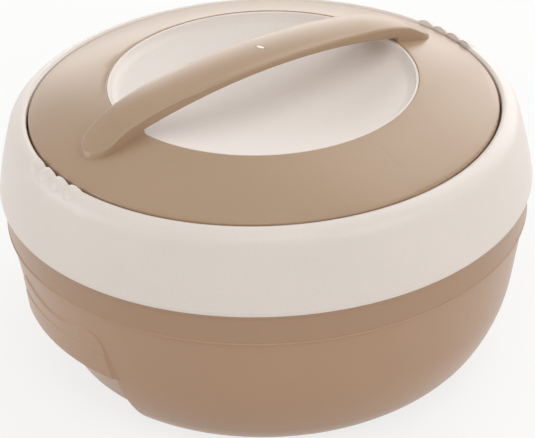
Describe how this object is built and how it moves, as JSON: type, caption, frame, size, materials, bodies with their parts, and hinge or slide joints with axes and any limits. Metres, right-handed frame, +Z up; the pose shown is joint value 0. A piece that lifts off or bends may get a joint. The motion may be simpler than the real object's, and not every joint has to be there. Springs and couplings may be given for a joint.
{
  "type": "insulated serving bowl",
  "caption": "Round double-walled serving bowl with a steel food bowl, a collar with thumb ridges, finger grips in its sides and a lift-off insulated lid with an arched handle.",
  "frame": {"origin": "centre of the base, on the surface that the bowl stands on", "axes": "+Z up through the lid, +X along the lid's handle and towards one of the two finger grips"},
  "size_m": [0.253, 0.253, 0.1542],
  "materials": {
    "brown_plastic": "satin moulded polypropylene",
    "cream_plastic": "satin moulded polypropylene",
    "steel": "spun satin stainless steel",
    "foam": "rigid insulation foam",
    "silicone": "translucent white silicone"
  },
  "bodies": {
    "bowl": {"outer_shell": "brown_plastic", "rim_ring": "cream_plastic", "inner_bowl": "steel", "bowl_foam": "foam", "base_plug": "brown_plastic"},
    "lid": {"lid_cover": "brown_plastic", "lid_dish": "cream_plastic", "lid_pan": "cream_plastic", "lid_gasket": "silicone", "lid_foam": "foam"}
  },
  "joints": [
    {"name": "lid_lift", "type": "slide", "parent": "bowl", "child": "lid", "axis": [0, 0, 1], "range_m": [0, 0.15]}
  ]
}
